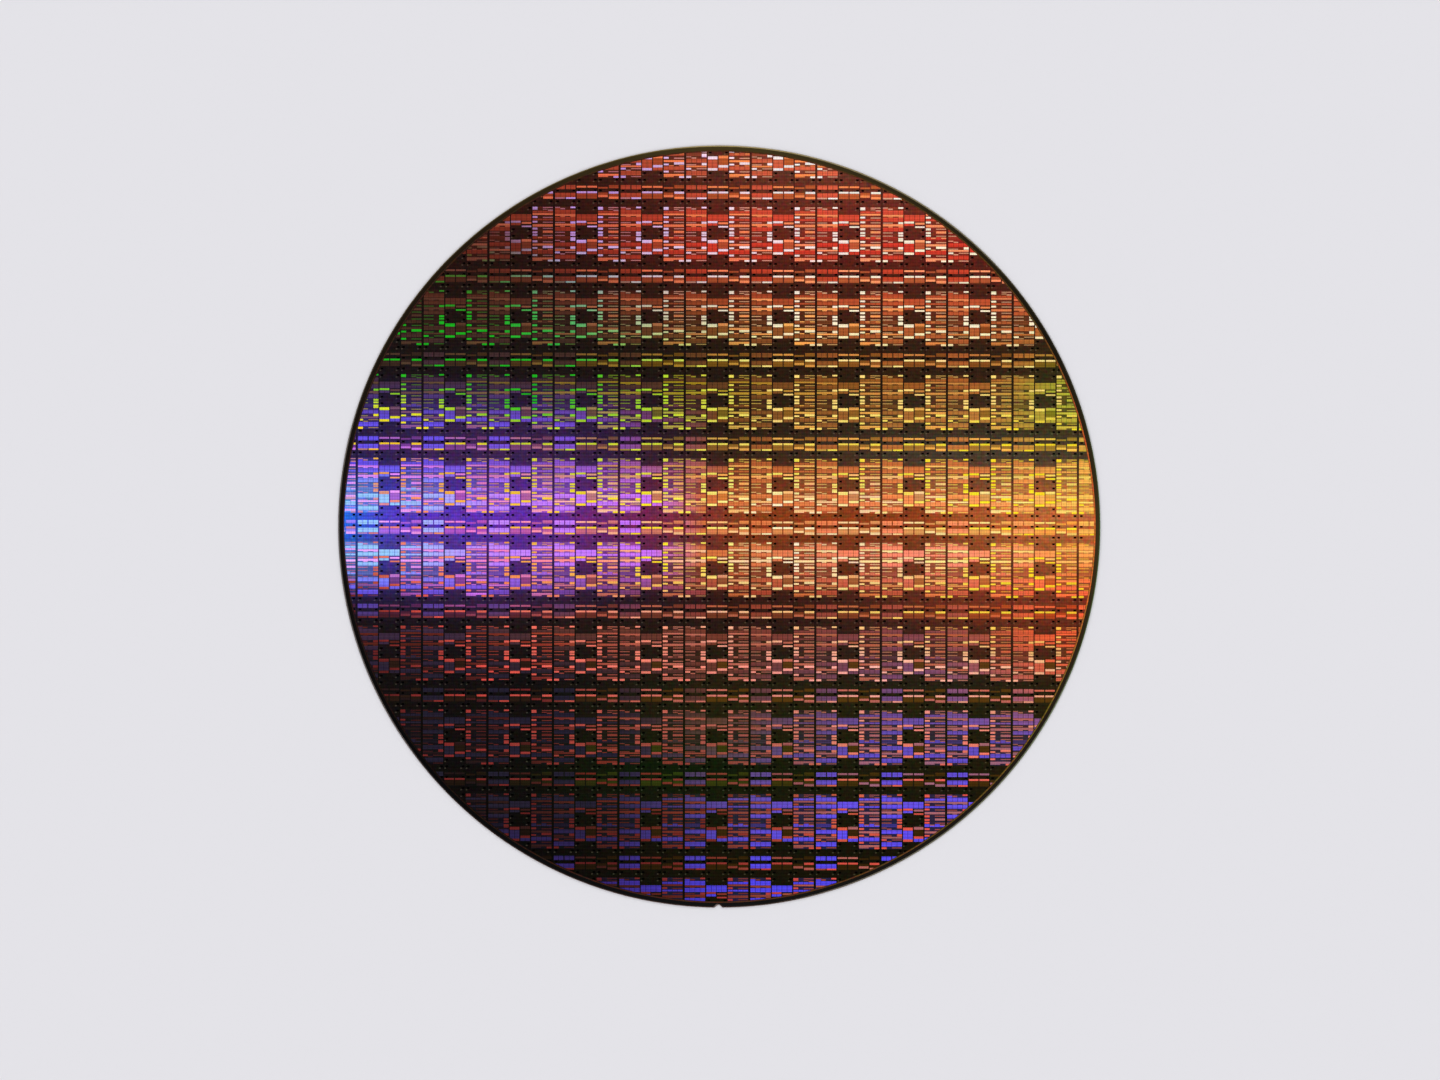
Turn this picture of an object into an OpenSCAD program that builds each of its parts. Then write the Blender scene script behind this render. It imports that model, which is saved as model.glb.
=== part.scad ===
// Silicon wafer with its printed films, lying on its back with the print up.
// Millimetres. The origin is the centre of the back face, +Z is up, the notch points to -Y.

/* [Disc] */
// Diameter across the rim
wafer_d = 300; // [280:1:320]
// Thickness of the bare silicon
wafer_t = 0.775; // [0.7:0.005:0.95]

/* [Edge] */
// Slope of the edge bevels against the faces, in degrees
bevel_angle = 22; // [18:1:28]
// Radius of the round nose between the two bevels
nose_r = 0.28; // [0.2:0.01:0.33]

/* [Notch] */
// Depth of the notch, from the rim to its bottom
notch_depth = 1.1; // [1:0.05:1.3]
// Radius of the round bottom of the notch
notch_r = 1.1; // [0.9:0.05:1.4]
// Angle between the two flanks of the notch, in degrees
notch_angle = 90; // [85:1:100]

/* [Films] */
// Bare border from the rim to the base film
base_border = 1.9; // [1.5:0.1:2.5]
// Border from the edge of the base film to the printed blocks
block_border = 0.6; // [0.3:0.1:1.5]
// Thickness of the base film, which shows in the streets
base_film_t = 0.008; // [0.004:0.001:0.02]
// Height of the printed blocks above the base film
block_t = 0.012; // [0.006:0.001:0.03]

/* [Exposure field] */
// Width of one column of blocks
column_w = 8; // [6:0.1:12]
// Street between two columns
street = 0.45; // [0.2:0.05:0.7]
// Wide street between the second and the third column
wide_street = 0.9; // [0.3:0.05:1.4]
// Length of the tall blocks, down the wafer
tall_l = 21.6; // [15:0.1:28]
// Plain band below the tall blocks
upper_band = 2.9; // [1:0.1:4]
// Length of the short blocks, down the wafer
short_l = 5.5; // [3:0.1:8]
// Plain band below the short blocks
lower_band = 3; // [1:0.1:4]
// Left side of the middle field, from the centre of the wafer
field_left = -4.8; // [-12:0.1:0]
// Top of the middle field, from the centre of the wafer
field_top = 26.8; // [10:0.1:32]

/* [Hidden] */
$fn = 96;

wafer_r = wafer_d / 2;
mid_z = wafer_t / 2;

// Chords of the round nose, and the angle that the nose turns through on each side.
nose_steps = 3;
nose_turn = 90 - bevel_angle;
// Width of the whole edge, from the rim to the flat face.
edge_w = nose_r + (mid_z * cos(bevel_angle) - nose_r) / sin(bevel_angle);

// Room by which the cutter of the notch stands past the faces and past the rim.
cut_room = 0.2;
flare = cut_room / tan(bevel_angle);
flank_l = notch_depth + notch_r + edge_w + cut_room;
sector_start = notch_angle / 2;
sector_angle = 180 - notch_angle;

base_r = wafer_r - base_border;
block_r = base_r - block_border;
block_top = wafer_t + base_film_t + block_t;

// Left sides of the three columns, from the left side of a field.
columns = [0, column_w + street, 2 * column_w + street + wide_street];
field_w = 3 * column_w + 2 * street + wide_street;
field_l = tall_l + upper_band + short_l + lower_band;
// Distance of each row of blocks from the top of a field, and its length.
rows = [[0, tall_l], [tall_l + upper_band, short_l]];
fields_across = ceil(wafer_r / field_w) + 1;
fields_down = ceil(wafer_r / field_l) + 1;

// The print's sheen, from the top of the wafer to its notch.
sheen = ["firebrick", "brown", "saddlebrown", "olive", "peru", "chocolate", "maroon", "indigo", "darkblue"];

// Sheen of a row whose middle lies at y.
function sheen_at(y) = sheen[min(len(sheen) - 1, max(0, floor((wafer_r - y) / wafer_d * len(sheen))))];

// Points of the nose from the lower bevel to the upper one, round its centre.
function nose_points() = [
    for (i = [0:nose_steps])
        let (turn = nose_turn * (2 * i / nose_steps - 1))
            nose_r * [cos(turn), sin(turn)]
];

// Half section of the disc with its base film: flat faces, two bevels and a round nose.
module disc_section() {
    polygon(concat(
        [[0, 0], [wafer_r - edge_w, 0]],
        [for (p = nose_points()) [wafer_r - nose_r + p.x, mid_z + p.y]],
        [
            [wafer_r - edge_w, wafer_t],
            [base_r, wafer_t],
            [base_r, wafer_t + base_film_t],
            [0, wafer_t + base_film_t]
        ]
    ));
}

// Section of the cutter of the notch, which leaves the rim's own bevels and nose there.
module notch_section() {
    polygon(concat(
        [[0, -cut_room], [notch_r + edge_w + flare, -cut_room]],
        [for (p = nose_points()) [notch_r + nose_r - p.x, mid_z + p.y]],
        [[notch_r + edge_w + flare, wafer_t + cut_room], [0, wafer_t + cut_room]]
    ));
}

// One straight flank of the cutter, from the end of the round bottom outwards.
module notch_flank() {
    rotate([0, 0, sector_start])
        rotate([90, 0, 0])
            linear_extrude(flank_l)
                notch_section();
}

// The cutter of the notch: a round bottom between two flanks, open to the outside.
module notch() {
    translate([0, notch_depth - notch_r - wafer_r, 0]) {
        rotate([0, 0, sector_start])
            rotate_extrude(angle = sector_angle)
                notch_section();
        notch_flank();
        mirror([1, 0, 0])
            notch_flank();
        translate([0, 0, -cut_room])
            linear_extrude(wafer_t + 2 * cut_room)
                polygon(flank_l * [
                    [0, 0],
                    [sin(sector_start), -cos(sector_start)],
                    [-sin(sector_start), -cos(sector_start)]
                ]);
    }
}

// The bare disc with its base film, its bevelled edge and its notch.
module disc() {
    color("darkslategray")
        difference() {
            rotate_extrude()
                disc_section();
            notch();
        }
}

// Bars down the whole wafer, one for each column of blocks.
module column_bars() {
    for (i = [-fields_across:fields_across], c = columns) {
        left = field_left + i * field_w + c;
        if (left < block_r && left + column_w > -block_r)
            translate([left, -wafer_r, mid_z])
                cube([column_w, wafer_d, block_top - mid_z]);
    }
}

// One row of printed blocks: the columns cut to the row and to the round edge of the print.
module block_row(bottom, length) {
    color(sheen_at(bottom + length / 2))
        intersection() {
            column_bars();
            translate([-wafer_r, bottom, mid_z])
                cube([wafer_d, length, block_top - mid_z]);
            translate([0, 0, mid_z])
                cylinder(r = block_r, h = block_top - mid_z);
        }
}

// All printed blocks, row by row down the wafer.
module blocks() {
    for (j = [-fields_down:fields_down], r = rows) {
        bottom = field_top - j * field_l - r[0] - r[1];
        if (bottom < block_r && bottom + r[1] > -block_r)
            block_row(bottom, r[1]);
    }
}

module wafer() {
    disc();
    blocks();
}

wafer();
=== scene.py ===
"""Looks of the silicon wafer: bare disc, base film and the printed blocks of every exposure field."""

import math

import bpy
import numpy as np
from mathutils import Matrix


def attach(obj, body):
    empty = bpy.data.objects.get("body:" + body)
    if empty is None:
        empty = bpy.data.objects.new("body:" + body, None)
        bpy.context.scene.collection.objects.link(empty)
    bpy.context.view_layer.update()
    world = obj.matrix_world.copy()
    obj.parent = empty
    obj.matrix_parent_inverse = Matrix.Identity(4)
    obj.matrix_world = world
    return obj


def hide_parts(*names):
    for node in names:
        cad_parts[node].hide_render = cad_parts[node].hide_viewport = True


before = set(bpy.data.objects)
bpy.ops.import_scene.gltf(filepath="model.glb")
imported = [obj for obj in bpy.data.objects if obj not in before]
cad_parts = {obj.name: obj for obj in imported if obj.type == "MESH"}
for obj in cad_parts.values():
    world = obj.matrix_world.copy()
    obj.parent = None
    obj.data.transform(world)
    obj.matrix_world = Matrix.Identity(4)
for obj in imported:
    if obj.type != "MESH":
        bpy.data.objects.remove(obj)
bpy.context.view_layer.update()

MM = 0.001

# Disc, in millimetres
WAFER_R = 150.0
WAFER_T = 0.775
BEVEL_ANGLE = math.radians(22)
NOSE_R = 0.28
NOSE_STEPS = 8
EDGE_W = NOSE_R + (WAFER_T / 2 * math.cos(BEVEL_ANGLE) - NOSE_R) / math.sin(BEVEL_ANGLE)
RIM_STEPS = 720

# Notch, in millimetres
NOTCH_DEPTH = 1.1
NOTCH_R = 1.1
NOTCH_HALF_ANGLE = math.radians(45)
SHOULDER_R = 0.6
ARC_STEPS = 10

# Films, in millimetres
BASE_BORDER = 1.9
BLOCK_BORDER = 0.6
BASE_FILM_T = 0.008
BLOCK_T = 0.012
BED_DROP = 0.004
BAND_T = 0.003
FILM_SINK = 0.004
BASE_R = WAFER_R - BASE_BORDER
BLOCK_R = BASE_R - BLOCK_BORDER
BASE_TOP = WAFER_T + BASE_FILM_T
BLOCK_TOP = BASE_TOP + BLOCK_T
BED_TOP = BLOCK_TOP - BED_DROP
BAND_TOP = BASE_TOP + BAND_T

# Rings of the base film, in millimetres, and the points round each
FILM_STEPS = 360
FILM_LINE_R = (BASE_R + BLOCK_R) / 2
FILM_FIRST_R = BLOCK_R - 2.0
FILM_LAST_R = 2.0
FILM_RING = 4.0
# Outer rings of the base film that carry the painted sheen of its edge
FILM_EDGE_RINGS = 3

# Radius of the flat caps of the disc, and rows of faces between a cap and the round nose
CAP_R = 146.0
FLAT_ROWS = 2

# Slope of a block's walls: its run, and the greatest part of the block that it takes
WALL_RUN = 0.03
WALL_SHARE = 0.2
# Blocks, sides and gaps smaller than these are left out where the round edge cuts the print
LEAST_AREA = 0.02
LEAST_SIDE = 0.001
LEAST_GAP = 1e-6

# Exposure field, in millimetres from its top left corner
COLUMN_W = 8.0
STREET = 0.45
WIDE_STREET = 0.9
TALL_L = 21.6
UPPER_BAND = 2.9
SHORT_L = 5.5
LOWER_BAND = 3.0
COLUMN_LEFT = {"C": 0.0, "A": COLUMN_W + STREET, "B": 2 * COLUMN_W + STREET + WIDE_STREET}
FIELD_W = 3 * COLUMN_W + 2 * STREET + WIDE_STREET
SHORT_TOP = TALL_L + UPPER_BAND
SHORT_END = SHORT_TOP + SHORT_L
FIELD_L = SHORT_END + LOWER_BAND
TALL = (0.0, TALL_L)
SHORT = (SHORT_TOP, SHORT_END)
BANDS = [(TALL_L, SHORT_TOP), (SHORT_END, FIELD_L)]
# Top left corner of the middle field, from the centre of the wafer
FIELD_LEFT = -4.8
FIELD_TOP = 26.8
# Fields down and across the wafer, and the fields side by side in one strip of the map
FIRST_ROW, LAST_ROW = -4, 5
FIRST_FIELD, LAST_FIELD = -6, 5
FIELDS_PER_STRIP = 4

# Places across a column, as a first and a last millimetre
FULL = (0.0, COLUMN_W)
Q1 = (0.0, 1.95)
Q2 = (2.05, 3.9)
Q3 = (4.05, 5.95)
Q4 = (6.05, 8.0)
LEFT = (0.0, 3.8)
RIGHT = (4.2, 8.0)
LEFT_PAIR = (0.0, 3.9)
RIGHT_PAIR = (4.05, 8.0)
LEFT_THREE = (0.0, 5.95)

# Cells that a circuit block is divided into: about this wide, with this gap between them
CELL_W = 2.0
CELL_GAP = 0.1

# Blocks of each column: kind, place across, top and bottom from the top of the field
BLOCKS = {
    "C": [
        ("logic", FULL, 3.05, 5.6),
        ("pad", LEFT, 5.65, 6.4),
        ("strip", RIGHT, 6.05, 6.8),
        ("logic", LEFT, 6.5, 7.4),
        ("pad", RIGHT, 7.5, 8.1),
        ("strip", RIGHT, 12.85, 13.9),
        ("pad", LEFT, 13.1, 14.3),
        ("dim", RIGHT, 13.95, 16.55),
        ("logic", LEFT, 14.35, 17.75),
        ("pad", RIGHT, 16.6, 17.5),
        ("logic", RIGHT, 17.55, 18.7),
        ("pad", LEFT, 17.8, 18.7),
        ("strip", LEFT, 24.8, 25.5),
        ("strip", RIGHT, 24.8, 25.5),
        ("pad", LEFT, 27.0, 27.7),
        ("pad", RIGHT, 27.0, 27.7),
        ("dim", LEFT, 27.75, 29.85),
        ("dim", RIGHT, 27.75, 29.85),
    ],
    "A": [
        ("pad", Q1, 0.1, 1.25),
        ("line", RIGHT_PAIR, 0.2, 0.55),
        ("line", Q3, 0.9, 1.2),
        ("line", Q4, 1.2, 1.65),
        ("logic", FULL, 1.7, 2.5),
        ("strip", FULL, 2.65, 3.3),
        ("pad", Q1, 3.75, 4.45),
        ("line", RIGHT_PAIR, 4.1, 4.45),
        ("logic", FULL, 4.75, 5.4),
        ("pad", Q1, 5.65, 6.35),
        ("line", RIGHT_PAIR, 6.0, 6.35),
        ("strip", FULL, 7.0, 7.9),
        ("pad", Q1, 8.3, 9.1),
        ("line", RIGHT_PAIR, 8.45, 8.8),
        ("strip", RIGHT_PAIR, 9.5, 10.35),
        ("pad", Q1, 9.75, 10.55),
        ("pad", Q1, 10.9, 11.55),
        ("line", RIGHT_PAIR, 11.2, 11.55),
        ("logic", Q1, 11.75, 12.35),
        ("strip", Q2, 11.95, 12.35),
        ("logic", Q3, 11.75, 12.35),
        ("strip", Q4, 11.95, 12.35),
        ("logic", FULL, 12.4, 12.85),
        ("pad", Q1, 13.35, 14.1),
        ("line", RIGHT_PAIR, 13.7, 14.1),
        ("strip", FULL, 14.6, 15.4),
        ("pad", RIGHT_PAIR, 15.45, 16.35),
        ("pad", Q1, 16.0, 16.65),
        ("strip", Q2, 16.7, 17.0),
        ("strip", Q4, 16.7, 17.0),
        ("logic", FULL, 17.05, 18.55),
        ("pad", Q1, 18.8, 19.5),
        ("line", RIGHT_PAIR, 19.05, 19.4),
        ("strip", FULL, 20.1, 20.85),
        ("strip", LEFT_PAIR, 20.9, 21.3),
        ("pad", Q4, 20.9, 21.6),
        ("dim", LEFT, 25.25, 25.9),
        ("dim", RIGHT, 24.5, 25.75),
        ("dim", LEFT, 27.4, 28.35),
        ("strip", LEFT, 28.4, 29.25),
        ("pad", RIGHT, 27.05, 27.85),
        ("dim", RIGHT, 27.9, 28.95),
        ("strip", RIGHT, 29.0, 29.95),
    ],
    "B": [
        ("pad", Q4, 0.0, 0.6),
        ("line", Q1, 0.15, 0.5),
        ("logic", Q1, 0.6, 1.25),
        ("line", Q2, 0.55, 1.1),
        ("logic", FULL, 1.3, 2.95),
        ("strip", FULL, 3.05, 3.7),
        ("strip", Q2, 3.75, 4.0),
        ("strip", Q4, 3.75, 4.0),
        ("logic", FULL, 4.1, 5.65),
        ("pad", Q4, 5.85, 6.65),
        ("line", LEFT_PAIR, 6.1, 6.45),
        ("strip", FULL, 6.75, 7.55),
        ("strip", Q2, 7.6, 7.95),
        ("strip", Q4, 7.6, 7.95),
        ("logic", FULL, 8.05, 9.5),
        ("pad", Q4, 9.85, 10.65),
        ("line", LEFT_PAIR, 9.95, 10.3),
        ("pad", Q4, 10.9, 11.55),
        ("line", LEFT_PAIR, 11.2, 11.55),
        ("haze", LEFT_THREE, 11.7, 12.3),
        ("pad", Q4, 12.1, 13.45),
        ("haze", LEFT_THREE, 12.4, 13.0),
        ("line", Q1, 13.15, 13.5),
        ("line", Q2, 13.55, 14.0),
        ("logic", FULL, 14.1, 15.65),
        ("pad", Q4, 15.7, 16.65),
        ("line", LEFT_PAIR, 16.3, 16.65),
        ("strip", FULL, 16.8, 17.4),
        ("pad", Q1, 17.7, 18.4),
        ("line", RIGHT_PAIR, 17.85, 18.2),
        ("line", Q2, 18.45, 18.85),
        ("logic", FULL, 18.95, 20.6),
        ("pad", Q1, 20.8, 21.6),
        ("line", RIGHT_PAIR, 20.95, 21.3),
        ("logic", LEFT, 24.5, 26.2),
        ("logic", RIGHT, 24.5, 26.2),
        ("logic", FULL, 27.55, 29.3),
        ("line", LEFT, 29.35, 29.95),
        ("pad", RIGHT, 29.35, 29.95),
    ],
}

# Alignment marks: distance of the pale spot from the top of the field, and the columns that carry it
MARKS = [(1.2, "C"), (9.7, "C"), (12.25, "C"), (20.45, "C"), (23.1, "CAB"), (31.6, "CAB")]
# Marks without a pale spot, in the same form
PLAIN_MARKS = [(27.3, "CAB")]
# Places of the dark blots and of the pale spots across a column
BLOTS = [(0.4, 1.5), (6.8, 7.9)]
SPOTS = [(0.0, 0.6), (6.3, 7.0)]
# Top and bottom of a blot above the middle of its spot, and half the length of a spot
BLOT_TOP, BLOT_BOTTOM = 1.1, 0.3
SPOT_HALF = 0.25

# Tones of the print's painted sheen, glows and shade, as display colours from 0 to 255
NIGHT = (30, 20, 20)
UMBER = (60, 40, 30)
COCOA = (90, 50, 40)
MAROON = (95, 35, 25)
BROWN = (110, 65, 30)
OCHRE = (135, 80, 30)
MOSS = (135, 115, 20)
OLIVE = (150, 150, 60)
BRONZE = (175, 115, 55)
HONEY = (210, 150, 70)
TAN = (150, 95, 60)
SIENNA = (115, 55, 40)
COPPER = (165, 85, 45)
TERRA = (195, 105, 55)
RUST = (150, 60, 40)
BRICK = (195, 52, 38)
FLAME = (240, 85, 50)
CORAL = (205, 95, 65)
ORANGE = (225, 125, 70)
AMBER = (250, 165, 85)
GOLD = (245, 170, 70)
MARIGOLD = (255, 195, 85)
SUN = (255, 225, 35)
LEMON = (245, 230, 90)
STRAW = (250, 215, 120)
LIME = (200, 215, 50)
GRASS = (140, 165, 40)
LEAF = (28, 168, 32)
FERN = (75, 165, 90)
SAND = (190, 185, 150)
FOREST = (14, 26, 8)
PINE = (70, 105, 20)
CREAM = (250, 235, 200)
PEARL = (245, 240, 230)
ROSE = (245, 215, 225)
PEACH = (240, 185, 145)
APRICOT = (245, 140, 100)
SALMON = (240, 130, 110)
RED = (220, 80, 70)
WINE = (90, 30, 30)
ROSEWOOD = (125, 62, 60)
BLUSH = (250, 175, 165)
CLAY = (165, 90, 75)
HEATHER = (140, 90, 110)
PINK = (210, 110, 180)
LILAC = (185, 140, 210)
ORCHID = (190, 105, 225)
VIOLET = (180, 125, 255)
MALLOW = (215, 155, 240)
GRAPE = (140, 80, 175)
MAUVE = (110, 70, 110)
PLUM = (105, 55, 115)
IRIS = (90, 70, 165)
INDIGO = (105, 70, 195)
BLUE = (95, 75, 215)
SKY = (140, 185, 255)
CERULEAN = (35, 105, 235)
AZURE = (75, 65, 215)
NAVY = (50, 35, 105)
DUSK = (60, 40, 60)
COAL = (32, 28, 42)
DRAB = (80, 60, 45)
INK = (85, 60, 195)
DAMSON = (100, 45, 165)
GARNET = (115, 38, 80)
SADDLE = (140, 62, 28)
AUBERGINE = (75, 40, 90)
EMBER = (145, 60, 35)
SLATE = (72, 68, 56)

# Painted diffraction sheen of the circuit blocks: bands across the wafer by height, each with its tones from
# left to right
LOGIC_SHEEN = [
    (140, [(-45, RUST), (40, CORAL)]),
    (110, [(-80, MAROON), (0, BRICK)]),
    (78, [(-60, UMBER), (0, BROWN), (60, COPPER)]),
    (56, [(-110, DUSK), (-40, UMBER), (60, OCHRE), (130, COPPER)]),
    (40, [(-120, BLUE), (-60, INDIGO), (-30, PLUM), (0, BROWN), (100, BRONZE)]),
    (23, [(-130, BLUE), (-45, GRAPE), (5, COPPER), (80, TERRA)]),
    (13, [(-125, SKY), (-90, VIOLET), (-26, ORCHID), (-6, TERRA), (60, ORANGE), (140, AMBER)]),
    (-14, [(-130, SKY), (-90, VIOLET), (-26, ORCHID), (-6, TERRA),
           (80, SALMON), (115, APRICOT), (140, AMBER)]),
    (-26, [(-140, BLUE), (-95, INDIGO), (-45, PLUM), (5, RUST), (130, CORAL)]),
    (-38, [(-110, DUSK), (-60, COCOA), (5, SIENNA), (80, ROSEWOOD), (130, COPPER)]),
    (-62, [(-60, COAL), (0, COCOA), (80, MAUVE), (128, CLAY)]),
    (-84, [(-40, COAL), (0, DRAB), (60, IRIS)]),
    (-112, [(-50, COAL), (10, IRIS), (50, BLUE)]),
    (-140, [(-45, NAVY), (10, AZURE)]),
]

# Painted diffraction sheen of the bright pads, in the same form
PAD_SHEEN = [
    (140, [(-40, LILAC), (0, ROSE), (40, PEARL)]),
    (112, [(-95, COCOA), (-60, LILAC), (10, ROSE), (95, CREAM)]),
    (80, [(-90, LEAF), (-60, FERN), (-25, SAND), (30, CREAM)]),
    (60, [(-60, LEAF), (-15, LIME), (25, STRAW)]),
    (48, [(-120, LIME), (-75, LEAF), (-15, LIME), (25, STRAW)]),
    (38, [(-120, SUN), (-75, LIME), (-25, LIME), (20, STRAW), (130, SUN)]),
    (24, [(-120, GOLD), (-60, LIME), (0, LEMON), (100, SUN)]),
    (8, [(-145, LILAC), (-122, SALMON), (-105, GOLD), (-30, SUN), (20, CREAM), (70, STRAW), (105, SUN)]),
    (-14, [(-147, CORAL), (-118, SALMON), (-70, GOLD), (-20, SUN), (30, CREAM), (80, PEACH), (118, SUN)]),
    (-30, [(-145, WINE), (-118, RED), (-60, SALMON), (0, PEACH), (120, SUN)]),
    (-55, [(-130, WINE), (-90, RED), (-20, SALMON), (60, BLUSH), (130, PEACH)]),
    (-108, [(-100, WINE), (0, MAROON), (50, CORAL), (90, RED)]),
    (-140, [(-40, WINE), (45, RED)]),
]

# Painted diffraction sheen of the narrow strips, in the same form
STRIP_SHEEN = [
    (138, [(-45, CORAL), (10, ORANGE)]),
    (104, [(-95, COCOA), (-30, CORAL), (60, APRICOT)]),
    (78, [(-118, UMBER), (-20, TAN), (30, AMBER), (125, COPPER)]),
    (56, [(-118, DRAB), (-20, MOSS), (60, BRONZE)]),
    (42, [(-118, MAUVE), (-70, HEATHER), (-20, OLIVE), (30, HONEY)]),
    (28, [(-118, ORCHID), (-45, TAN), (20, HONEY), (135, GOLD)]),
    (12, [(-142, MALLOW), (-95, PINK), (-45, PEACH), (0, AMBER), (60, PEACH), (135, STRAW)]),
    (-14, [(-142, MALLOW), (-95, PINK), (-50, SALMON), (5, PEACH), (120, STRAW)]),
    (-26, [(-140, PLUM), (-95, ORCHID), (-45, CLAY), (5, COPPER), (130, ORANGE)]),
    (-38, [(-110, MAROON), (-60, RUST), (-20, CLAY), (130, COPPER)]),
    (-66, [(-118, NIGHT), (-75, WINE), (-20, CLAY)]),
    (-95, [(-95, NIGHT), (-50, MAROON), (0, SIENNA), (60, HEATHER)]),
    (-140, [(-60, NIGHT), (-10, MAROON), (50, CLAY)]),
]

# Painted glows of light near the right edge that lie over the print: tone, centre, reach across and down,
# share
GLOWS = [
    (GRASS, (138, 50), (22, 20), 0.8),
    (MARIGOLD, (146, 8), (22, 32), 0.7),
    (FLAME, (140, -36), (28, 28), 0.75),
]
# Part of the painted glows that shows on the pads
PAD_GLOW = 0.25

# Plain areas: share of the circuits' painted sheen, a tone that is added, and the tones of the painted light
# across the bright middle
PLAIN_SHARE = 0.26
PLAIN_FLOOR = (12, 10, 9)
PLAIN_MIDDLE_GLOW = [(-147, CERULEAN), (-130, INK), (-75, DAMSON), (-30, GARNET),
                (10, SADDLE), (75, SADDLE), (120, TERRA)]
# Height and reach of the painted light across the bright middle
GLOW_Y, GLOW_REACH = 2.5, 14.5
# Further share of the painted sheen towards the top right, where the top is painted as lit more, and where
# it starts and how far it takes to rise
TOP_SHARE = 0.2
TOP_Y, TOP_REACH = 75.0, 40.0
TOP_X, TOP_WIDTH = -60.0, 80.0
# Soft round fields of painted sheen on the plain areas and on the dim blocks, in the form of the glows
GREY_FIELD = (SLATE, (100, 29), (70, 10), 0.7)
RED_FIELD = (EMBER, (120, -30), (60, 14), 0.7)
PURPLE_FIELD = (AUBERGINE, (-95, 30), (50, 12), 0.6)
LOW_PURPLE_FIELD = (AUBERGINE, (-85, -25), (40, 8), 0.5)
# The green fields tint the painted shade of the lower half
GREEN_FIELD = (FOREST, (-15, -95), (50, 14), 0.8)
GREEN_DIM_FIELD = (PINE, (-15, -95), (50, 14), 0.8)

# Lower half, darker with painted shade: where its shade tones start and how far they take to rise
SHADE_Y, SHADE_REACH = -35.0, 35.0
# Its painted shade tones at the left and at the right, for the plain areas and for the dim blocks
SHADE_LEFT, SHADE_RIGHT = (19, 15, 14), (37, 32, 14)
DIM_LEFT, DIM_RIGHT = (60, 35, 20), (135, 80, 15)
SHADE_LEFT_X, SHADE_RIGHT_X = -75.0, -5.0
# Level that its painted shade tones sink to, and the height where they reach it
SHADE_END, SHADE_END_Y = 0.6, -130.0

# Shares of a brighter tone in the weaker kinds of print, and the rise of some in the painted light of the
# bright middle
LINE_SHARE = 0.75
SPOT_SHARE = 0.22
HAZE_SHARE = 0.6
DIM_SHARE, DIM_RISE = 0.46, 0.08
BED_SHARE, BED_RISE = 0.25, 0.25
# Richness of the dim blocks, and where their painted shade in the lower half starts and how far it takes to
# rise
DIM_RICHNESS = 1.3
DIM_Y, DIM_REACH = -30.0, 25.0
# Levels of the dark marks and of the streets against the plain areas
MARK_SHARE = 0.1
STREET_SHARE = 0.8

# Level of each bright kind of print
LOGIC_GAIN = 1.08
PAD_GAIN = 1.02
STRIP_GAIN = 1.12

# Tints round the rim: an angle in degrees, anticlockwise from the right, and a colour; the back keeps its
# own grey, the others are painted glints, reflections and sheen
BACK_TINTS = [(0, (120, 122, 128)), (180, (120, 122, 128))]
# Painted glints on the round nose of the edge
NOSE_GLINTS = [
    (0, (70, 110, 40)),
    (25, (60, 55, 30)),
    (90, (140, 120, 55)),
    (180, (60, 50, 45)),
    (270, (80, 50, 38)),
]
# Painted reflections on the dark polished ring outside the film
RING_REFLECTIONS = [
    (0, (75, 62, 35)),
    (30, (34, 29, 20)),
    (90, (85, 72, 38)),
    (130, (46, 34, 20)),
    (180, (27, 23, 20)),
    (215, (12, 11, 12)),
    (270, (24, 24, 24)),
    (330, (46, 38, 28)),
]
# Painted diffraction sheen along the edge of the base film
FILM_EDGE_SHEEN = [
    (12, (205, 96, 45)),
    (32, (90, 62, 26)),
    (120, (60, 36, 24)),
    (180, (50, 30, 26)),
    (220, (24, 16, 12)),
    (270, (80, 42, 30)),
    (310, (100, 72, 30)),
    (335, (125, 95, 35)),
    (350, (205, 110, 48)),
]

# Fine marks of the print: sizes in millimetres, and shares in the tone
SPECKLE = 1.5
SPECKLE_DETAIL = 4
BASE_SPECKLE, BLOCK_SPECKLE = 1.7, 0.5
LINE_ACROSS, LINE_DOWN = 0.67, 1.3
FILM_LINES = 0.12
# Scale of a wave texture whose lines lie one unit apart
WAVE_SCALE = math.pi / 10

# Gloss of the print, which comes from its clear top film alone
FILM_ROUGH_LOW, FILM_ROUGH_HIGH = 0.10, 0.18
FILM_SPECULAR = 0.0
COAT_WEIGHT = 0.2
COAT_ROUGH = 0.04

# Bare silicon: size of its polishing marks in millimetres, and what they do to tone and gloss
SILICON_GRAIN = 4.0
SILICON_TONE_LOW, SILICON_TONE_HIGH = 0.85, 1.15
SILICON_ROUGH_LOW, SILICON_ROUGH_HIGH = 0.10, 0.18
SILICON_METALLIC = 0.4

# Camera: width and middle of the view and lens in millimetres, and a slight turn
VIEW_W = 566.7
VIEW_X, VIEW_Y = 0.3, -5.3
VIEW_TURN = math.radians(0.12)
LENS = 100.0
SENSOR = 36.0

# Floor: half its width in metres, and its display colour
FLOOR_HALF = 6.0
FLOOR_COLOUR = (229, 228, 233)

# Suns, each with its turn, and their spread and tilt, in degrees
SUNS = [("key", 40), ("fill", 160), ("back", 280)]
SUN_LEVEL = 1.02
SUN_SPREAD = 40
SUN_TILT = 45

# Sky: heights between which its level goes from that of the sides to that of the top
SKY_LOW, SKY_HIGH = 0.25, 0.95
SKY_SIDE_LEVEL, SKY_TOP_LEVEL = 0.75, 0.02
SKY_COLOUR = (1.0, 1.0, 1.0)


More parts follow.
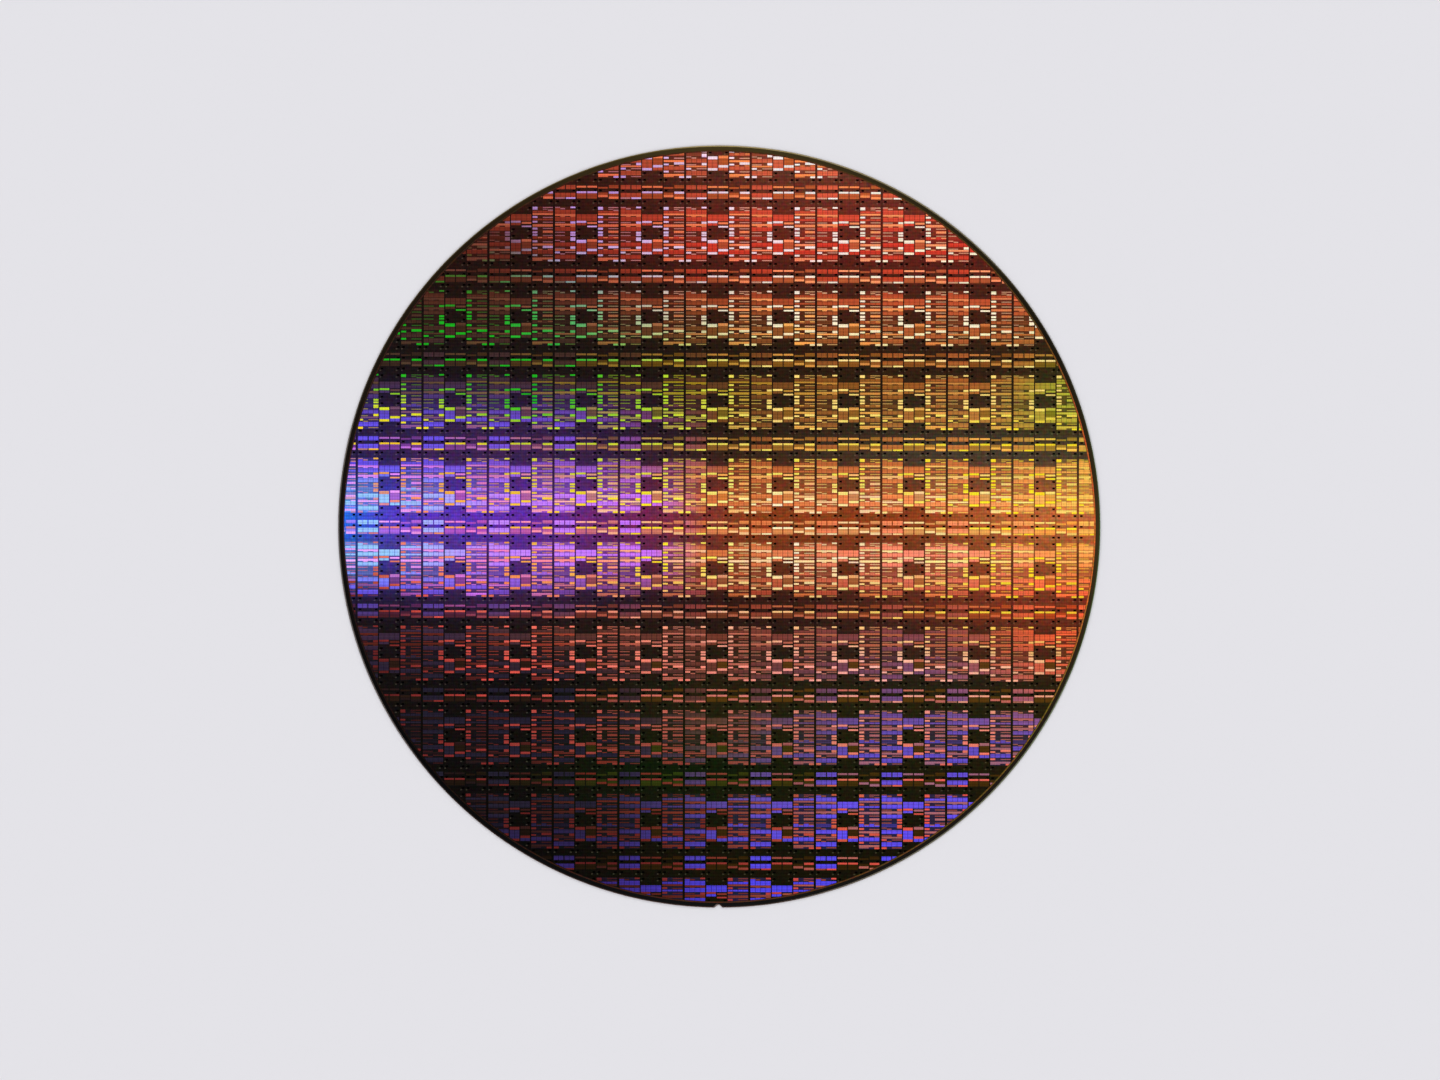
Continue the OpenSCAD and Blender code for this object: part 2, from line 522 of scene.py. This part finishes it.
def to_linear(colour):
    """Scene-linear colour of a display colour from 0 to 255, by the sRGB formula."""
    share = np.asarray(colour, float) / 255.0
    return np.where(share <= 0.04045, share / 12.92, ((share + 0.055) / 1.055) ** 2.4)


def tones_across(stops, x):
    """Display colours at places x, blended between stops that give a place and a tone."""
    places = [stop[0] for stop in stops]
    tones = np.array([stop[1] for stop in stops], float)
    return np.stack([np.interp(x, places, tones[:, k]) for k in range(3)], axis=-1)


def sheen(bands, x, y, glow=1.0):
    """Display colour of a painted sheen at points x, y in millimetres, blended across and between its bands,
    with the painted glows laid over it.
    """
    heights = np.array([band[0] for band in bands], float)
    rows = np.array([tones_across(stops, x) for _, stops in bands])
    place = np.interp(-y, -heights, np.arange(len(bands)))
    upper = np.clip(np.floor(place).astype(int), 0, len(bands) - 2)
    part = (place - upper)[:, None]
    index = np.arange(len(x))
    colour = rows[upper, index] * (1 - part) + rows[upper + 1, index] * part
    for tone, centre, reach, share in GLOWS:
        colour = lay_field(colour, (tone, centre, reach, share * glow), x, y)
    return colour


def lay_field(colour, field, x, y):
    """A colour with a soft round field of another tone laid over it."""
    tone, centre, reach, share = field
    away = ((x - centre[0]) / reach[0]) ** 2 + ((y - centre[1]) / reach[1]) ** 2
    part = (share * np.exp(-away))[:, None]
    return colour * (1 - part) + np.array(tone) * part


def richer(colour, share):
    """A colour with its distance from grey scaled by a share."""
    grey = colour.mean(axis=-1, keepdims=True)
    return grey + (colour - grey) * share


def middle_glow(y):
    """Share of the painted light that falls on the middle of the wafer, from 0 to 1."""
    return np.exp(-((y - GLOW_Y) / GLOW_REACH) ** 2)


def lower_half(y):
    """Share of the lower half's painted shade tones at a height, from 0 to 1."""
    return np.clip((SHADE_Y - y) / SHADE_REACH, 0, 1)


def lower_fade(y):
    """Level of the lower half's painted shade tones, which sinks towards the notch."""
    return np.interp(-y, [-SHADE_Y + SHADE_REACH, -SHADE_END_Y], [1.0, SHADE_END])[:, None]


def from_left(left, right, x):
    """Painted shade tone of the lower half at places x, between a tone at the left and one at the right."""
    part = np.clip((x - SHADE_LEFT_X) / (SHADE_RIGHT_X - SHADE_LEFT_X), 0, 1)[:, None]
    return np.array(left) * (1 - part) + np.array(right) * part


def plain_colour(logic, x, y):
    """Display colour of the plain areas between the blocks, from the painted sheen of the circuits there,
    with painted light across the middle and painted shade in the lower half.
    """
    top = np.clip((y - TOP_Y) / TOP_REACH, 0, 1) * np.clip((x - TOP_X) / TOP_WIDTH, 0, 1)
    lit = logic * (PLAIN_SHARE + TOP_SHARE * top)[:, None] + PLAIN_FLOOR
    for field in (GREY_FIELD, RED_FIELD, PURPLE_FIELD, LOW_PURPLE_FIELD):
        lit = lay_field(lit, field, x, y)
    middle = middle_glow(y)[:, None]
    lit = lit * (1 - middle) + tones_across(PLAIN_MIDDLE_GLOW, x) * middle
    low = lower_half(y)[:, None]
    shaded = lay_field(from_left(SHADE_LEFT, SHADE_RIGHT, x) * lower_fade(y), GREEN_FIELD, x, y)
    return lit * (1 - low) + shaded * low


def print_and_sheen_colour(kind, x, y):
    """Display colour of one kind of print with its painted sheen, glows and shade, at points x, y in
    millimetres.
    """
    pad = sheen(PAD_SHEEN, x, y, PAD_GLOW) * PAD_GAIN
    if kind == "pad":
        return pad
    strip = sheen(STRIP_SHEEN, x, y) * STRIP_GAIN
    if kind == "strip":
        return strip
    logic = sheen(LOGIC_SHEEN, x, y)
    if kind == "logic":
        return logic * LOGIC_GAIN
    plain = plain_colour(logic, x, y)
    if kind == "line":
        return plain * (1 - LINE_SHARE) + (strip + pad) / 2 * LINE_SHARE
    if kind == "spot":
        return plain * (1 - SPOT_SHARE) + np.array(SAND) * SPOT_SHARE
    if kind == "dim":
        share = (DIM_SHARE + DIM_RISE * middle_glow(y))[:, None]
        # Painted shade of the dim blocks in the lower half
        low = np.clip((DIM_Y - y) / DIM_REACH, 0, 1)[:, None]
        shaded_dim_tone = lay_field(from_left(DIM_LEFT, DIM_RIGHT, x) * lower_fade(y), GREEN_DIM_FIELD, x, y)
        tone = richer(strip, DIM_RICHNESS) * (1 - low) + shaded_dim_tone * low
        return plain * (1 - share) + tone * share
    if kind == "haze":
        return plain * (1 - HAZE_SHARE) + logic * HAZE_SHARE
    if kind == "bed":
        share = (BED_SHARE + BED_RISE * middle_glow(y))[:, None]
        return plain * (1 - share) + logic * share
    if kind == "street":
        return plain * STREET_SHARE
    if kind == "mark":
        return plain * MARK_SHARE
    return plain


class Print:
    """Prisms gathered into one mesh, each vertex with its print colour and painted sheen and its place on
    the map.
    """

    def __init__(self):
        self.points = []
        self.faces = []
        self.kinds = {}
        self.strips = []

    def add(self, outline, low, high, kind, strip):
        """A closed prism with gently sloping walls on a plan outline that runs anticlockwise."""
        count = len(outline)
        outline = np.array(outline)
        centre = outline.mean(0)
        away = outline - centre
        reach = np.maximum(np.abs(away).max(1), WALL_RUN)
        inner = centre + away * (1 - np.minimum(WALL_RUN / reach, WALL_SHARE))[:, None]
        first = len(self.points)
        self.points += [(x, y, low) for x, y in outline]
        self.points += [(x, y, high) for x, y in inner]
        self.kinds.setdefault(kind, []).extend(range(first, first + 2 * count))
        self.strips += [strip] * (2 * count)
        bottom = list(range(first, first + count))
        top = list(range(first + count, first + 2 * count))
        self.faces.append(tuple(top))
        self.faces.append(tuple(reversed(bottom)))
        for k in range(count):
            after = (k + 1) % count
            self.faces.append((bottom[k], bottom[after], top[after], top[k]))

    def piece(self, name, material, map_size):
        """Makes the piece, in metres, with its colours and a map seen from above."""
        points = np.array(self.points)
        mesh = bpy.data.meshes.new(name)
        mesh.from_pydata((points * MM).tolist(), [], self.faces)
        colours = np.ones((len(points), 4))
        for kind, members in self.kinds.items():
            x, y = points[members, 0], points[members, 1]
            colours[members, :3] = to_linear(np.clip(print_and_sheen_colour(kind, x, y), 0, 255))
        paint(mesh, colours)
        left = points[:, 0].min()
        bottom = points[:, 1].min()
        strips = np.array(self.strips, float)
        strip_w = FIELD_W * FIELDS_PER_STRIP
        across = points[:, 0] - (FIELD_LEFT + FIRST_FIELD * FIELD_W) - strips * strip_w
        down = points[:, 1] - bottom + strips * FIELD_L
        if not strips.any():
            across = points[:, 0] - left
        lay_map(mesh, np.stack([across, down], axis=1) / map_size)
        finish_piece(mesh, material)


def paint(mesh, colours):
    """Stores one linear colour for each vertex."""
    layer = mesh.color_attributes.new("print", "FLOAT_COLOR", "POINT")
    layer.data.foreach_set("color", colours.astype(np.float32).ravel())


def lay_map(mesh, places):
    """Gives the mesh a map whose places belong to its vertices."""
    corner = np.zeros(len(mesh.loops), np.int32)
    mesh.loops.foreach_get("vertex_index", corner)
    layer = mesh.uv_layers.new(name="OFBake")
    layer.data.foreach_set("uv", places[corner].astype(np.float32).ravel())


def finish_piece(mesh, material):
    """Links a mesh as a piece of the wafer that stands for its solid."""
    mesh.materials.append(material)
    mesh.update()
    piece = bpy.data.objects.new(mesh.name, mesh)
    bpy.context.scene.collection.objects.link(piece)
    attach(piece, "root")
    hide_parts("wafer")


def cut_round(x0, x1, y0, y1, radius):
    """Outline of a rectangle cut to a circle round the origin, anticlockwise, or None if nothing is left."""
    corners = [(x0, y0), (x1, y0), (x1, y1), (x0, y1)]
    if all(math.hypot(*corner) <= radius for corner in corners):
        return corners
    outline = []
    for k in range(4):
        (ax, ay), (bx, by) = corners[k], corners[(k + 1) % 4]
        dx, dy = bx - ax, by - ay
        half = (ax * dx + ay * dy) / (dx * dx + dy * dy)
        inside = half * half - (ax * ax + ay * ay - radius * radius) / (dx * dx + dy * dy)
        if inside <= 0:
            continue
        enter = max(0.0, -half - math.sqrt(inside))
        leave = min(1.0, -half + math.sqrt(inside))
        if leave <= enter:
            continue
        start = (ax + dx * enter, ay + dy * enter)
        if outline and math.dist(outline[-1], start) > LEAST_GAP:
            outline += round_way(outline[-1], start, radius)
        outline.append(start)
        outline.append((ax + dx * leave, ay + dy * leave))
    if len(outline) < 3:
        return None
    if math.dist(outline[-1], outline[0]) > LEAST_GAP:
        outline += round_way(outline[-1], outline[0], radius)
    clean = [p for k, p in enumerate(outline) if math.dist(p, outline[k - 1]) > LEAST_SIDE]
    return clean if len(clean) > 2 else None


def round_way(start, end, radius):
    """Points on the circle between two points of it, going anticlockwise."""
    first = math.atan2(start[1], start[0])
    turn = (math.atan2(end[1], end[0]) - first) % (2 * math.pi)
    steps = int(turn * RIM_STEPS / (2 * math.pi))
    angles = [first + turn * (k + 1) / (steps + 1) for k in range(steps)]
    return [(radius * math.cos(a), radius * math.sin(a)) for a in angles]


def area_of(outline):
    """Area of an outline, in square millimetres."""
    pairs = zip(outline, outline[1:] + outline[:1])
    return sum(ax * by - bx * ay for (ax, ay), (bx, by) in pairs) / 2


def field_corner(across, down):
    """Top left corner of a field."""
    return FIELD_LEFT + across * FIELD_W, FIELD_TOP - down * FIELD_L


def place_block(target, corner, column, span, top, bottom, low, high, kind, strip):
    """One block of a field, cut to the round edge of the print."""
    x = corner[0] + COLUMN_LEFT[column]
    outline = cut_round(x + span[0], x + span[1], corner[1] - bottom, corner[1] - top, BLOCK_R)
    if outline and area_of(outline) > LEAST_AREA:
        target.add(outline, low, high, kind, strip)


def place_marks(target, corner, strip):
    """Alignment marks at both ends of each column: a dark blot, most with a paler spot below it."""
    for middle, columns in MARKS + PLAIN_MARKS:
        for column in columns:
            for blot in BLOTS:
                top, bottom = middle - BLOT_TOP, middle - BLOT_BOTTOM
                place_block(target, corner, column, blot, top, bottom, WAFER_T, BLOCK_TOP, "mark", strip)
    for middle, columns in MARKS:
        for column in columns:
            for spot in SPOTS:
                top, bottom = middle - SPOT_HALF, middle + SPOT_HALF
                place_block(target, corner, column, spot, top, bottom, WAFER_T, BLOCK_TOP, "spot", strip)


def cells(kind, span):
    """Places across of the parts of a block: the cells of a circuit, or the block itself."""
    if kind != "logic":
        return [span]
    count = round((span[1] - span[0]) / CELL_W)
    pitch = (span[1] - span[0] + CELL_GAP) / count
    starts = [span[0] + pitch * k for k in range(count)]
    return [(start, start + pitch - CELL_GAP) for start in starts]


def make_blocks(material):
    """The fine blocks of every field, one piece for each row of fields."""
    for down in range(FIRST_ROW, LAST_ROW + 1):
        row = Print()
        for across in range(FIRST_FIELD, LAST_FIELD + 1):
            corner = field_corner(across, down)
            strip = (across - FIRST_FIELD) // FIELDS_PER_STRIP
            for column, blocks in BLOCKS.items():
                for kind, span, top, bottom in blocks:
                    for cell in cells(kind, span):
                        place_block(row, corner, column, cell, top, bottom, WAFER_T, BLOCK_TOP, kind, strip)
            place_marks(row, corner, strip)
        row.piece(f"blocks_row_{down - FIRST_ROW + 1}", material, FIELD_W * FIELDS_PER_STRIP)


def make_beds(material):
    """The tall and short beds that the blocks stand on, and the plain bands between them."""
    beds = Print()
    for down in range(FIRST_ROW, LAST_ROW + 1):
        for across in range(FIRST_FIELD, LAST_FIELD + 1):
            corner = field_corner(across, down)
            for column in COLUMN_LEFT:
                tall_kind = "dark" if column == "C" else "bed"
                place_block(beds, corner, column, FULL, *TALL, WAFER_T, BED_TOP, tall_kind, 0)
                place_block(beds, corner, column, FULL, *SHORT, WAFER_T, BED_TOP, "dark", 0)
                for band in BANDS:
                    place_block(beds, corner, column, FULL, *band, WAFER_T, BAND_TOP, "dark", 0)
    beds.piece("beds", material, 2 * WAFER_R)


def rim_outline():
    """Points of the rim with its notch, anticlockwise, and the inward direction at each."""
    notch_centre = np.array([0.0, NOTCH_DEPTH - NOTCH_R - WAFER_R])
    flank_in = np.array([math.cos(NOTCH_HALF_ANGLE), math.sin(NOTCH_HALF_ANGLE)])
    flank_out = np.array([math.sin(NOTCH_HALF_ANGLE), -math.cos(NOTCH_HALF_ANGLE)])
    line = notch_centre + (NOTCH_R + SHOULDER_R) * flank_in
    half = line @ flank_out
    way = -half + math.sqrt(half * half - line @ line + (WAFER_R - SHOULDER_R) ** 2)
    shoulder = line + way * flank_out
    rim_start = math.atan2(shoulder[1], shoulder[0])
    rim_turn = 2 * math.pi - 2 * (rim_start + math.pi / 2)
    points, inward = [], []
    for k in range(RIM_STEPS + 1):
        out = direction(rim_start + rim_turn * k / RIM_STEPS)
        points.append(out * WAFER_R)
        inward.append(-out)
    side = []
    shoulder_turn = NOTCH_HALF_ANGLE - math.pi - rim_start
    for k in range(1, ARC_STEPS + 1):
        out = direction(rim_start + shoulder_turn * k / ARC_STEPS)
        side.append((shoulder + SHOULDER_R * out, -out))
    for k in range(ARC_STEPS + 1):
        out = direction(NOTCH_HALF_ANGLE + (math.pi / 2 - NOTCH_HALF_ANGLE) * k / ARC_STEPS)
        side.append((notch_centre + NOTCH_R * out, out))
    flip = np.array([-1.0, 1.0])
    for point, inner in side:
        points.append(point * flip)
        inward.append(inner * flip)
    for point, inner in reversed(side[:-1]):
        points.append(point)
        inward.append(inner)
    return np.array(points), np.array(inward)


def direction(angle):
    """Unit vector at an angle."""
    return np.array([math.cos(angle), math.sin(angle)])


def rim_tint(points, stops):
    """Display colours round the rim, blended between stops that give an angle in degrees and a colour."""
    angles = np.degrees(np.arctan2(points[:, 1], points[:, 0])) % 360
    places = [stop[0] for stop in stops]
    colours = np.array([stop[1] for stop in stops], float)
    return np.stack([np.interp(angles, places, colours[:, k], period=360) for k in range(3)], axis=-1)


def ring_faces(count, rings):
    """Quads between rings of the same count, and a cap on the first and on the last ring."""
    faces = []
    for r in range(rings - 1):
        for k in range(count):
            after = (k + 1) % count
            low, high = r * count, (r + 1) * count
            faces.append((low + k, low + after, high + after, high + k))
    faces.append(tuple(reversed(range(count))))
    faces.append(tuple(range((rings - 1) * count, rings * count)))
    return faces


def make_substrate(material):
    """The silicon disc with bevelled edge and notch."""
    points, inward = rim_outline()
    count = len(points)
    nose_turn = math.pi / 2 - BEVEL_ANGLE
    turns = [nose_turn * (2 * k / NOSE_STEPS - 1) for k in range(NOSE_STEPS + 1)]
    section = [(EDGE_W, 0.0, BACK_TINTS)]
    for turn in turns:
        inset = NOSE_R - NOSE_R * math.cos(turn)
        section.append((inset, WAFER_T / 2 + NOSE_R * math.sin(turn), NOSE_GLINTS))
    section += [(EDGE_W, WAFER_T, RING_REFLECTIONS)]
    rounds = points / np.linalg.norm(points, axis=1)[:, None]
    rings = [(rounds * CAP_R, 0.0, BACK_TINTS)]
    rings += [(points + inward * inset, z, tints) for inset, z, tints in section]
    rings += [(rounds * CAP_R, WAFER_T, RING_REFLECTIONS)]
    vertices = np.concatenate([np.column_stack([flat, np.full(count, z)]) for flat, z, _ in rings])
    mesh = bpy.data.meshes.new("substrate")
    mesh.from_pydata((vertices * MM).tolist(), [], ring_faces(count, len(rings)))
    tints = np.concatenate([rim_tint(flat, tint) for flat, _, tint in rings])
    paint(mesh, np.column_stack([to_linear(tints), np.ones(len(tints))]))
    smooth_nose(mesh, count, len(rings))
    finish_piece(mesh, material)


def smooth_nose(mesh, count, rings):
    """Shades the round nose smooth and leaves the flat faces and bevels flat."""
    smooth = np.zeros(len(mesh.polygons), bool)
    smooth[FLAT_ROWS * count:(rings - 1 - FLAT_ROWS) * count] = True
    mesh.polygons.foreach_set("use_smooth", smooth)


def make_base_film(material):
    """The base film under the print, which shows in the streets."""
    angles = np.linspace(0, 2 * np.pi, FILM_STEPS, endpoint=False)
    circle = np.column_stack([np.cos(angles), np.sin(angles)])
    radii = [BASE_R, BASE_R, FILM_LINE_R, BLOCK_R]
    radii += list(np.arange(FILM_FIRST_R, FILM_LAST_R, -FILM_RING))
    heights = [WAFER_T - FILM_SINK] + [BASE_TOP] * (len(radii) - 1)
    rings = [np.column_stack([circle * r, np.full(FILM_STEPS, z)]) for r, z in zip(radii, heights)]
    vertices = np.concatenate(rings)
    mesh = bpy.data.meshes.new("base_film")
    mesh.from_pydata((vertices * MM).tolist(), [], ring_faces(FILM_STEPS, len(radii)))
    # Painted sheen and shade of the streets, with the painted sheen of the film's edge on its outer rings
    shown = print_and_sheen_colour("street", vertices[:, 0], vertices[:, 1])
    edge = FILM_EDGE_RINGS * FILM_STEPS
    shown[:edge] = rim_tint(vertices[:edge], FILM_EDGE_SHEEN)
    paint(mesh, np.column_stack([to_linear(np.clip(shown, 0, 255)), np.ones(len(shown))]))
    lay_map(mesh, vertices[:, :2] / (2 * WAFER_R) + 0.5)
    finish_piece(mesh, material)


def new_material(name):
    """A new node material with its nodes and links."""
    material = bpy.data.materials.new(name)
    material.use_nodes = True
    return material, material.node_tree.nodes, material.node_tree.links


def wave_lines(nodes, axis, period):
    """Fine lines across one axis, a period apart in millimetres."""
    lines = nodes.new("ShaderNodeTexWave")
    lines.bands_direction = axis
    lines.inputs["Scale"].default_value = WAVE_SCALE / (period * MM)
    return lines


def printed_film_with_sheen(name, speckle_share, line_share):
    """Painted print and painted diffraction sheen under a clear glossy top film, with coloured speckle and a
    fine grid of lines.
    """
    material, nodes, links = new_material(name)
    shader = nodes["Principled BSDF"]
    place = nodes.new("ShaderNodeTexCoord")
    # The print colours hold the painted sheen, glows and shade of the print
    paint_node = nodes.new("ShaderNodeAttribute")
    paint_node.attribute_name = "print"
    speckle = nodes.new("ShaderNodeTexNoise")
    speckle.inputs["Scale"].default_value = 1 / (SPECKLE * MM)
    speckle.inputs["Detail"].default_value = SPECKLE_DETAIL
    links.new(place.outputs["Object"], speckle.inputs["Vector"])
    tint = nodes.new("ShaderNodeVectorMath")
    tint.operation = "MULTIPLY_ADD"
    tint.inputs[1].default_value = (speckle_share,) * 3
    tint.inputs[2].default_value = (1 - speckle_share / 2,) * 3
    links.new(speckle.outputs["Color"], tint.inputs[0])
    tone = nodes.new("ShaderNodeVectorMath")
    tone.operation = "MULTIPLY"
    links.new(paint_node.outputs["Color"], tone.inputs[0])
    links.new(tint.outputs[0], tone.inputs[1])
    shown = tone.outputs[0]
    for axis, period in (("X", LINE_ACROSS), ("Y", LINE_DOWN)):
        lines = wave_lines(nodes, axis, period)
        links.new(place.outputs["Object"], lines.inputs["Vector"])
        level = nodes.new("ShaderNodeMapRange")
        level.inputs["To Min"].default_value = 1 - line_share
        level.inputs["To Max"].default_value = 1 + line_share
        links.new(lines.outputs["Fac"], level.inputs["Value"])
        lined = nodes.new("ShaderNodeVectorMath")
        lined.operation = "SCALE"
        links.new(shown, lined.inputs[0])
        links.new(level.outputs["Result"], lined.inputs["Scale"])
        shown = lined.outputs[0]
    links.new(shown, shader.inputs["Base Color"])
    rough = nodes.new("ShaderNodeMapRange")
    rough.inputs["To Min"].default_value = FILM_ROUGH_LOW
    rough.inputs["To Max"].default_value = FILM_ROUGH_HIGH
    links.new(speckle.outputs["Fac"], rough.inputs["Value"])
    links.new(rough.outputs["Result"], shader.inputs["Roughness"])
    shader.inputs["Metallic"].default_value = 0.0
    shader.inputs["Specular IOR Level"].default_value = FILM_SPECULAR
    shader.inputs["Coat Weight"].default_value = COAT_WEIGHT
    shader.inputs["Coat Roughness"].default_value = COAT_ROUGH
    return material


def bare_silicon():
    """Polished silicon, dark and mirror-like, with faint polishing marks, over its painted rim tints of
    glints and reflections.
    """
    material, nodes, links = new_material("bare_silicon")
    shader = nodes["Principled BSDF"]
    place = nodes.new("ShaderNodeTexCoord")
    # The print colours hold the back's own grey and the rim's painted glints and reflections
    paint_node = nodes.new("ShaderNodeAttribute")
    paint_node.attribute_name = "print"
    grain = nodes.new("ShaderNodeTexNoise")
    grain.inputs["Scale"].default_value = 1 / (SILICON_GRAIN * MM)
    links.new(place.outputs["Object"], grain.inputs["Vector"])
    tone = nodes.new("ShaderNodeMapRange")
    tone.inputs["To Min"].default_value = SILICON_TONE_LOW
    tone.inputs["To Max"].default_value = SILICON_TONE_HIGH
    links.new(grain.outputs["Fac"], tone.inputs["Value"])
    scaled = nodes.new("ShaderNodeVectorMath")
    scaled.operation = "SCALE"
    links.new(paint_node.outputs["Color"], scaled.inputs[0])
    links.new(tone.outputs["Result"], scaled.inputs["Scale"])
    links.new(scaled.outputs[0], shader.inputs["Base Color"])
    rough = nodes.new("ShaderNodeMapRange")
    rough.inputs["To Min"].default_value = SILICON_ROUGH_LOW
    rough.inputs["To Max"].default_value = SILICON_ROUGH_HIGH
    links.new(grain.outputs["Fac"], rough.inputs["Value"])
    links.new(rough.outputs["Result"], shader.inputs["Roughness"])
    shader.inputs["Metallic"].default_value = SILICON_METALLIC
    return material


def make_floor():
    """A wide plain pale floor."""
    mesh = bpy.data.meshes.new("floor")
    corners = [(-FLOOR_HALF, -FLOOR_HALF, 0), (FLOOR_HALF, -FLOOR_HALF, 0),
               (FLOOR_HALF, FLOOR_HALF, 0), (-FLOOR_HALF, FLOOR_HALF, 0)]
    mesh.from_pydata(corners, [], [(0, 1, 2, 3)])
    material, nodes, _ = new_material("floor")
    shader = nodes["Principled BSDF"]
    shader.inputs["Base Color"].default_value = (*to_linear(FLOOR_COLOUR), 1.0)
    shader.inputs["Roughness"].default_value = 1.0
    shader.inputs["Specular IOR Level"].default_value = 0.0
    mesh.materials.append(material)
    floor = bpy.data.objects.new("floor", mesh)
    bpy.context.scene.collection.objects.link(floor)


def make_light():
    """Soft studio light from the sides, with a darker sky overhead."""
    for name, turn in SUNS:
        lamp = bpy.data.lights.new(name, "SUN")
        lamp.energy = SUN_LEVEL
        lamp.angle = math.radians(SUN_SPREAD)
        holder = bpy.data.objects.new(name, lamp)
        holder.rotation_euler = (math.radians(SUN_TILT), 0, math.radians(turn))
        bpy.context.scene.collection.objects.link(holder)
    world = bpy.data.worlds.new("studio")
    world.use_nodes = True
    bpy.context.scene.world = world
    nodes, links = world.node_tree.nodes, world.node_tree.links
    place = nodes.new("ShaderNodeTexCoord")
    split = nodes.new("ShaderNodeSeparateXYZ")
    ramp = nodes.new("ShaderNodeMapRange")
    ramp.interpolation_type = "SMOOTHSTEP"
    ramp.inputs["From Min"].default_value = SKY_LOW
    ramp.inputs["From Max"].default_value = SKY_HIGH
    ramp.inputs["To Min"].default_value = SKY_SIDE_LEVEL
    ramp.inputs["To Max"].default_value = SKY_TOP_LEVEL
    links.new(place.outputs["Generated"], split.inputs[0])
    links.new(split.outputs["Z"], ramp.inputs["Value"])
    links.new(ramp.outputs["Result"], nodes["Background"].inputs["Strength"])
    nodes["Background"].inputs["Color"].default_value = (*SKY_COLOUR, 1.0)


def make_camera():
    """The photograph's view, straight down on the print."""
    data = bpy.data.cameras.new("camera")
    data.lens = LENS
    data.sensor_width = SENSOR
    camera = bpy.data.objects.new("camera", data)
    camera.location = (VIEW_X * MM, VIEW_Y * MM, (VIEW_W * LENS / SENSOR + BLOCK_TOP) * MM)
    camera.rotation_euler = (0, 0, VIEW_TURN)
    bpy.context.scene.collection.objects.link(camera)
    bpy.context.scene.camera = camera


silicon = bare_silicon()
base_print_and_sheen = printed_film_with_sheen("base_print_and_sheen", BASE_SPECKLE, FILM_LINES)
block_print_and_sheen = printed_film_with_sheen("block_print_and_sheen", BLOCK_SPECKLE, FILM_LINES)
make_substrate(silicon)
make_base_film(base_print_and_sheen)
make_beds(base_print_and_sheen)
make_blocks(block_print_and_sheen)
make_floor()
make_light()
make_camera()
bpy.context.scene.view_settings.view_transform = "Standard"
